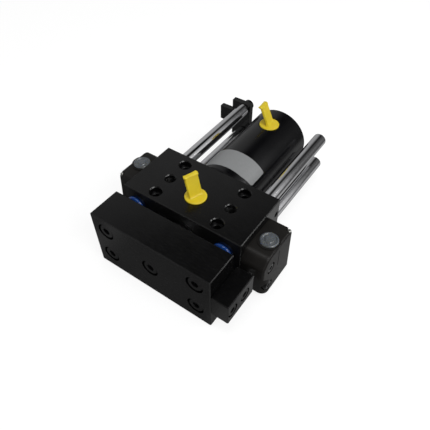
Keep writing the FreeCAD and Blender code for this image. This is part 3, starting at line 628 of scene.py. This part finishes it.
def make_plug(node, seat, turn, height, lean, width, aside, lips):
    """A soft yellow plug with rounded edges that stands for its CAD node."""
    flange, thickness = 8.85, 1.4
    shank, inner, depth = 5.68, 4.5, -6.5
    hollow_top, lower_edge, dish = 0.2, 0.3, 0.2
    segments = 64
    upper_edge = ((0.0, 0.55), (0.15, 0.2), (0.5, 0.0), (1.4, 0.05), (2.2, dish))
    profile = [(0, hollow_top), (inner, hollow_top), (inner, depth), (shank, depth), (shank, 0.0),
               (flange - lower_edge, 0.0), (flange, lower_edge)]
    profile += [(flange - inset, thickness - drop) for inset, drop in upper_edge]
    profile.append((0, thickness - dish))
    disc, disc_faces = lathe(profile, segments)
    tab, tab_faces = tab_surface(height, lean, width, aside, lips, thickness)
    points = disc + tab
    faces = disc_faces + [tuple(len(disc) + index for index in face) for face in tab_faces]
    place = Matrix.Translation(Vector(seat)) @ Matrix.Rotation(math.radians(turn), 4, "Z")
    placed = [tuple((place @ Vector(point)) * MM) for point in points]
    plug = piece_from(f"{node}_soft", placed, faces, "yellow_plug", "block")
    sharpen(plug, degrees=50)
    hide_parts(node)


def make_camera():
    """The photograph's camera, from its place and angles."""
    azimuth = math.radians(CAMERA_AZIMUTH)
    elevation = math.radians(CAMERA_ELEVATION)
    roll = math.radians(CAMERA_ROLL)
    back = Vector((math.sin(azimuth) * math.cos(elevation), -math.cos(azimuth) * math.cos(elevation),
                   math.sin(elevation)))
    level_right = Vector((math.cos(azimuth), math.sin(azimuth), 0.0))
    level_up = back.cross(level_right)
    right = level_right * math.cos(roll) + level_up * math.sin(roll)
    up = level_up * math.cos(roll) - level_right * math.sin(roll)
    turn = Matrix((right, up, back)).transposed().to_4x4()
    data = bpy.data.cameras.new("camera")
    data.sensor_fit = "HORIZONTAL"
    data.sensor_width = CAMERA_SENSOR
    data.lens = CAMERA_LENS
    data.clip_start = CAMERA_CLIP_START
    camera = bpy.data.objects.new("camera", data)
    camera.matrix_world = Matrix.Translation(CAMERA_PLACE) @ turn
    bpy.context.collection.objects.link(camera)
    bpy.context.scene.camera = camera


def by_ray(tree, plain, shown, mirrored, output):
    """Picks what a ray meets: shown straight or through glass, mirrored in gloss, and plain for the rest."""
    path = add(tree, "ShaderNodeLightPath")
    seen = reckoned(tree, "MAXIMUM", path, "Is Camera Ray", path, "Is Transmission Ray")
    first = shader_mix(tree, plain, shown)
    join(tree, seen, "Value", first, "Fac")
    second = shader_mix(tree, first, mirrored)
    join(tree, path, "Is Glossy Ray", second, "Fac")
    join(tree, second, "Shader", output, "Surface")


def make_floor():
    """A floor that bounces light as a pale surface, is shown white with the part's soft shadow, and is
    mirrored in gloss with a painted shade that changes from place to place, darker under and in front of the
    part."""
    corners = [(-FLOOR_HALF, -FLOOR_HALF, 0), (FLOOR_HALF, -FLOOR_HALF, 0), (FLOOR_HALF, FLOOR_HALF, 0),
               (-FLOOR_HALF, FLOOR_HALF, 0)]
    mesh = bpy.data.meshes.new("floor")
    mesh.from_pydata(corners, [], [(0, 1, 2, 3)])
    floor = bpy.data.objects.new("floor", mesh)
    floor.location.z = -FLOOR_DROP
    bpy.context.collection.objects.link(floor)
    made = bpy.data.materials.new("floor_white")
    made.use_nodes = True
    tree = made.node_tree
    tree.nodes.clear()
    output = add(tree, "ShaderNodeOutputMaterial")
    bounce = add(tree, "ShaderNodeBsdfDiffuse", Color=as_colour(FLOOR_BOUNCE))
    shadowed = add(tree, "ShaderNodeBsdfDiffuse", Color=as_colour(FLOOR_SHADOWED))
    glow = add(tree, "ShaderNodeEmission", Color=WHITE, Strength=FLOOR_GLOW)
    shown = add(tree, "ShaderNodeAddShader")
    join(tree, shadowed, "BSDF", shown, 0)
    join(tree, glow, "Emission", shown, 1)
    split = places(tree, "Object")
    # Painted shade on the mirrored floor: darker under and in front of the part, as though in its shadow
    shade = product(tree, graded(tree, split, "Y", FLOOR_PAINTED_SHADE_ALONG_Y), graded(tree, split, "X", FLOOR_PAINTED_SHADE_ALONG_X))
    shaded = add(tree, "ShaderNodeBsdfDiffuse")
    join(tree, shade, MIX_RESULT, shaded, "Color")
    even = add(tree, "ShaderNodeEmission", Strength=FLOOR_EVEN)
    join(tree, shade, MIX_RESULT, even, "Color")
    mirrored = shader_mix(tree, shaded, even)
    mirrored.inputs["Fac"].default_value = FLOOR_EVEN_SHARE
    by_ray(tree, bounce, shown, mirrored, output)
    mesh.materials.append(made)


def make_world():
    """White for the camera, a surround graded by direction for gloss, and a plain grey light for the rest."""
    world = bpy.data.worlds.new("studio")
    bpy.context.scene.world = world
    world.use_nodes = True
    tree = world.node_tree
    tree.nodes.clear()
    output = add(tree, "ShaderNodeOutputWorld")
    split = places(tree, "Generated")
    rearward = add(tree, "ShaderNodeMapRange", From_Min=SKY_REAR_START, From_Max=SKY_REAR_END)
    join(tree, split, "Y", rearward, "Value")
    sides = add(tree, "ShaderNodeMix", data_type="RGBA")
    join(tree, rearward, "Result", sides, MIX_FACTOR)
    join(tree, graded(tree, split, "X", SKY_SIDES), "Color", sides, MIX_FIRST)
    join(tree, graded(tree, split, "X", SKY_REAR_SIDES), "Color", sides, MIX_SECOND)
    surround = product(tree, graded(tree, split, "Z", SKY_HEIGHTS), sides, MIX_RESULT)
    plain = add(tree, "ShaderNodeBackground", Color=WHITE, Strength=SKY_FILL)
    shown = add(tree, "ShaderNodeBackground", Color=WHITE, Strength=SKY_SEEN)
    mirrored = add(tree, "ShaderNodeBackground", Strength=SKY_SEEN)
    join(tree, surround, MIX_RESULT, mirrored, "Color")
    by_ray(tree, plain, shown, mirrored, output)


def make_lamp(name, place, aim, size, power):
    """A round area lamp that points at a place."""
    data = bpy.data.lights.new(name, "AREA")
    data.shape = "DISK"
    data.size = size
    data.energy = power
    item = bpy.data.objects.new(name, data)
    item.location = place
    item.rotation_euler = (Vector(aim) - Vector(place)).to_track_quat("-Z", "Y").to_euler()
    bpy.context.collection.objects.link(item)


dress_nodes()
make_label()
for index, (across, along) in enumerate(THREAD_HOLES):
    make_thread(f"block_thread_{index + 1}", across, along)
for index, (across, along) in enumerate(BOLT_HOLES):
    make_shelf(f"bolt_hole_shelf_{index + 1}", across, along)
make_plug("front_port_plug", seat=(0.0, -6.8, BLOCK_TOP), turn=-20.0, height=18.2, lean=6.4, width=12.0,
          aside=0.0, lips=(0.9, 0.3))
make_plug("rear_port_plug", seat=(0.0, 104.9, 55.5), turn=4.0, height=18.0, lean=7.8, width=11.0,
          aside=0.7, lips=(0.2, 1.5))
make_camera()
make_floor()
make_world()
for name, place, aim, size, power in LAMPS:
    make_lamp(name, place, aim, size, power)

bpy.context.scene.view_settings.view_transform = "Standard"
